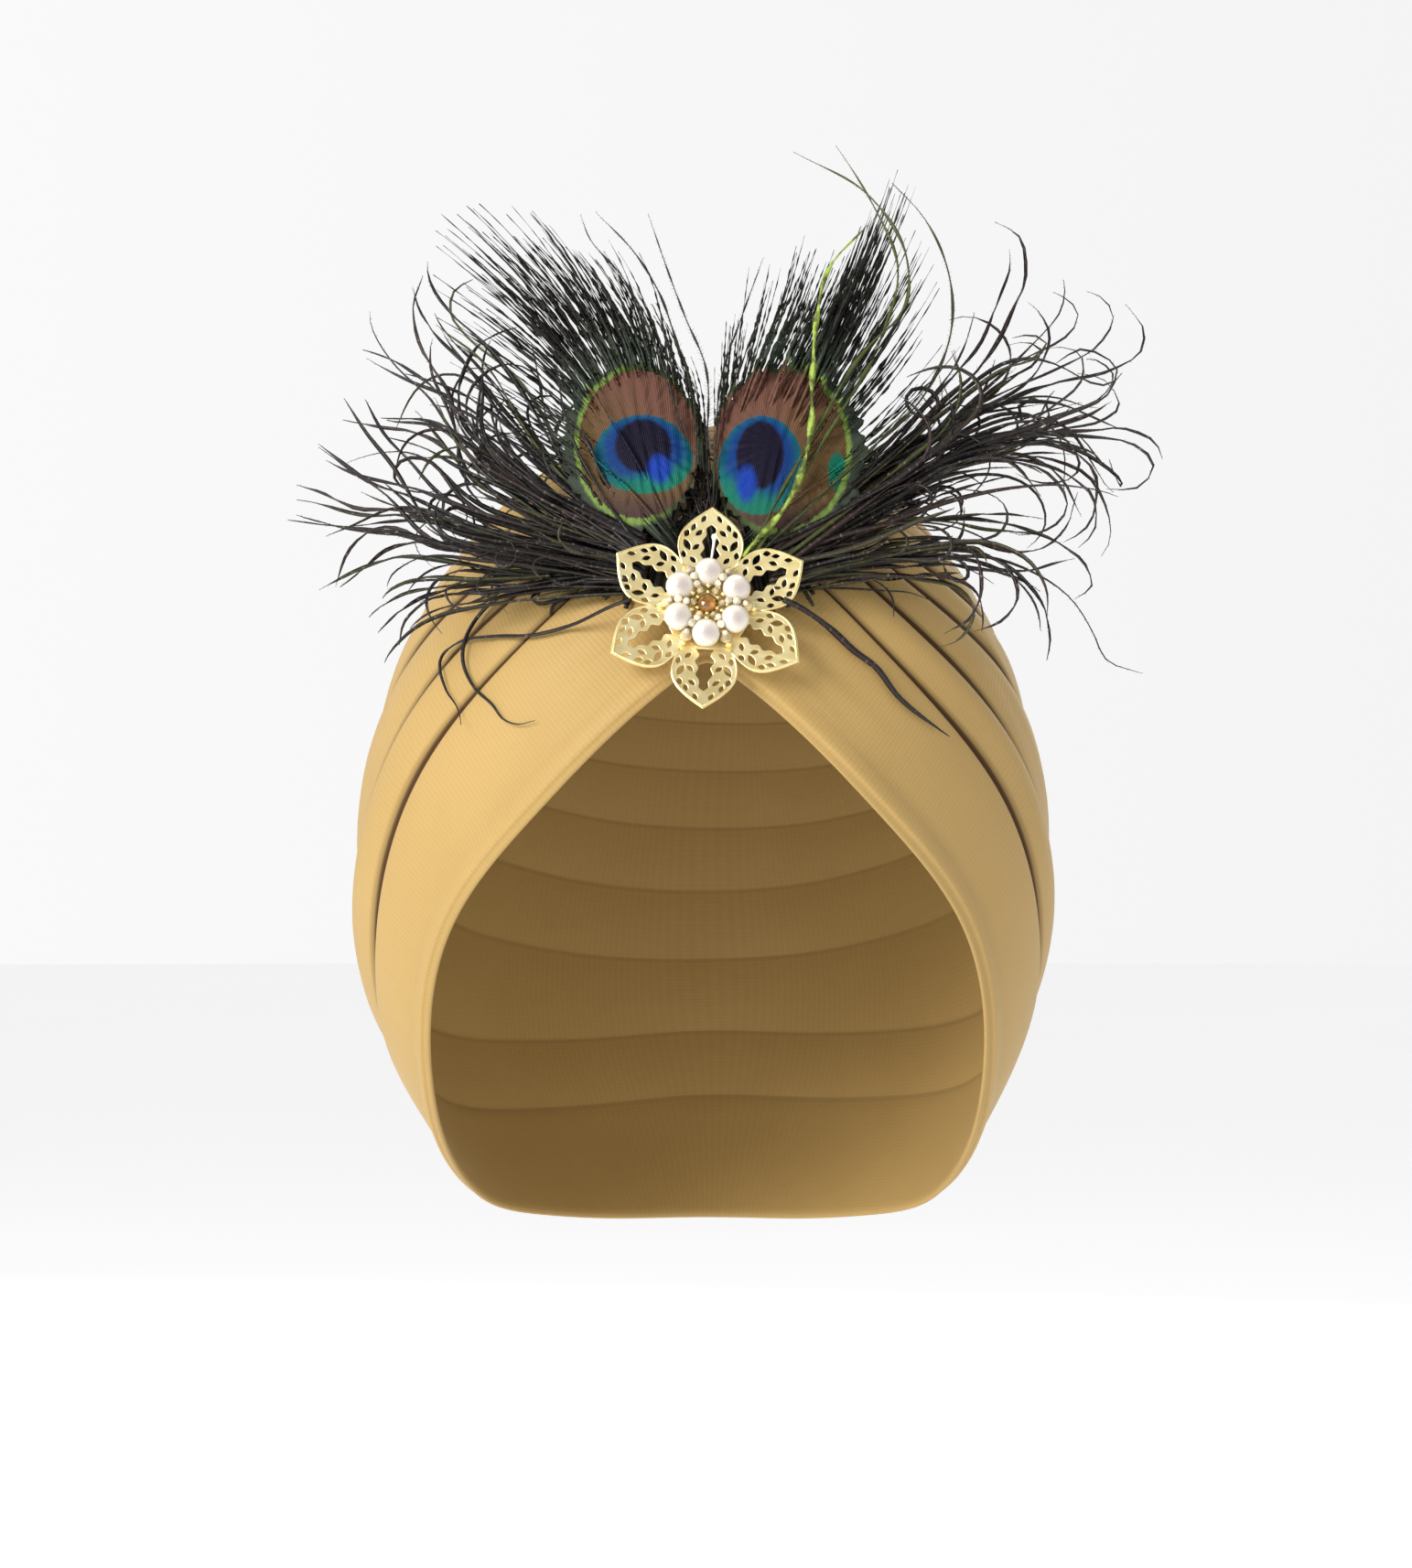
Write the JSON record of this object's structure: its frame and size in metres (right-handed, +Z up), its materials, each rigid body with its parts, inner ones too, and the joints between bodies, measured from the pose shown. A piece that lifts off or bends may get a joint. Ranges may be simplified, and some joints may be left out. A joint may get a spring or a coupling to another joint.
{
  "type": "turban hat",
  "caption": "Pleated cloth turban hat with a peacock feather spray and a pierced gold flower brooch set with pearls.",
  "frame": {"origin": "inner top of the crown, where the hat rests on a head", "axes": "+Z up, the front with the brooch and the feathers faces -Y, +X is the right side as seen from the front"},
  "size_m": [0.2172, 0.2063, 0.282],
  "materials": {
    "cloth": "soft camel stretch knit with fine ribs",
    "herl": "dark brown feather herl",
    "vane": "green and bronze feather vane with a blue eye",
    "steel": "plain pin",
    "gold": "stamped pale gold filigree",
    "amber": "clear amber crystal in a gold setting",
    "pearl": "cream pearl lustre"
  },
  "bodies": {
    "root": {"turban_cap": "cloth", "herl_fan_left": "herl", "herl_fan_right": "herl", "eye_feather_left": "vane", "eye_feather_right": "vane", "brooch_post": "steel", "brooch_filigree": "gold", "crystal_setting": "amber", "pearl_1": "pearl", "pearl_2": "pearl", "pearl_3": "pearl", "pearl_4": "pearl", "pearl_5": "pearl", "pearl_6": "pearl"}
  },
  "joints": []
}
